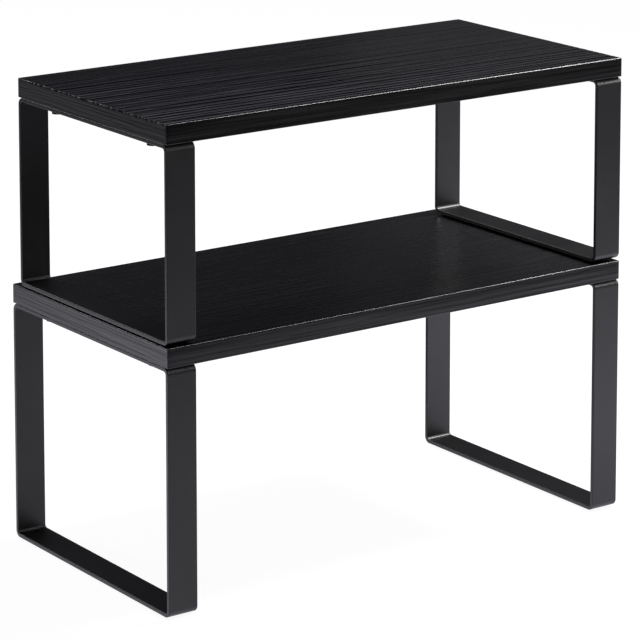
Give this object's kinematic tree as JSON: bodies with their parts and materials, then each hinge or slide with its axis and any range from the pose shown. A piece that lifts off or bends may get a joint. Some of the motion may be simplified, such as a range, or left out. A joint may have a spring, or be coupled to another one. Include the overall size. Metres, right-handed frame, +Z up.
{
  "type": "desk hutch",
  "caption": "Open desk hutch of stacking shelf risers: black wood-grain boards on closed loops of bent flat bar, the smaller riser loose on the larger.",
  "frame": {"origin": "on the floor under the middle of the lower board", "axes": "+X along the boards to the right as seen from the front, +Y from front to back, +Z up"},
  "size_m": [0.43, 0.222, 0.37],
  "materials": {
    "board_laminate": "satin black laminate with an embossed straight grain",
    "edge_banding": "satin black with a fine lengthwise grain",
    "powder_coated_steel": "fine satin black powder coat",
    "black_screw_steel": "black zinc",
    "insert_metal": "machined, inside the board",
    "non_slip_rubber": "matte"
  },
  "bodies": {
    "lower_riser": {"lower_board": "board_laminate", "lower_front_edge_band": "edge_banding", "lower_back_edge_band": "edge_banding", "lower_left_edge_band": "edge_banding", "lower_right_edge_band": "edge_banding", "lower_left_leg_frame": "powder_coated_steel", "lower_left_frame_screws": "black_screw_steel", "lower_left_threaded_inserts": "insert_metal", "lower_left_foot_pads": "non_slip_rubber", "lower_right_leg_frame": "powder_coated_steel", "lower_right_frame_screws": "black_screw_steel", "lower_right_threaded_inserts": "insert_metal", "lower_right_foot_pads": "non_slip_rubber"},
    "upper_riser": {"upper_board": "board_laminate", "upper_front_edge_band": "edge_banding", "upper_back_edge_band": "edge_banding", "upper_left_edge_band": "edge_banding", "upper_right_edge_band": "edge_banding", "upper_left_leg_frame": "powder_coated_steel", "upper_left_frame_screws": "black_screw_steel", "upper_left_threaded_inserts": "insert_metal", "upper_left_foot_pads": "non_slip_rubber", "upper_right_leg_frame": "powder_coated_steel", "upper_right_frame_screws": "black_screw_steel", "upper_right_threaded_inserts": "insert_metal", "upper_right_foot_pads": "non_slip_rubber"}
  },
  "joints": [
    {"name": "upper_riser_lift", "type": "slide", "parent": "lower_riser", "child": "upper_riser", "axis": [0, 0, 1], "range_m": [0, 0.06]}
  ]
}
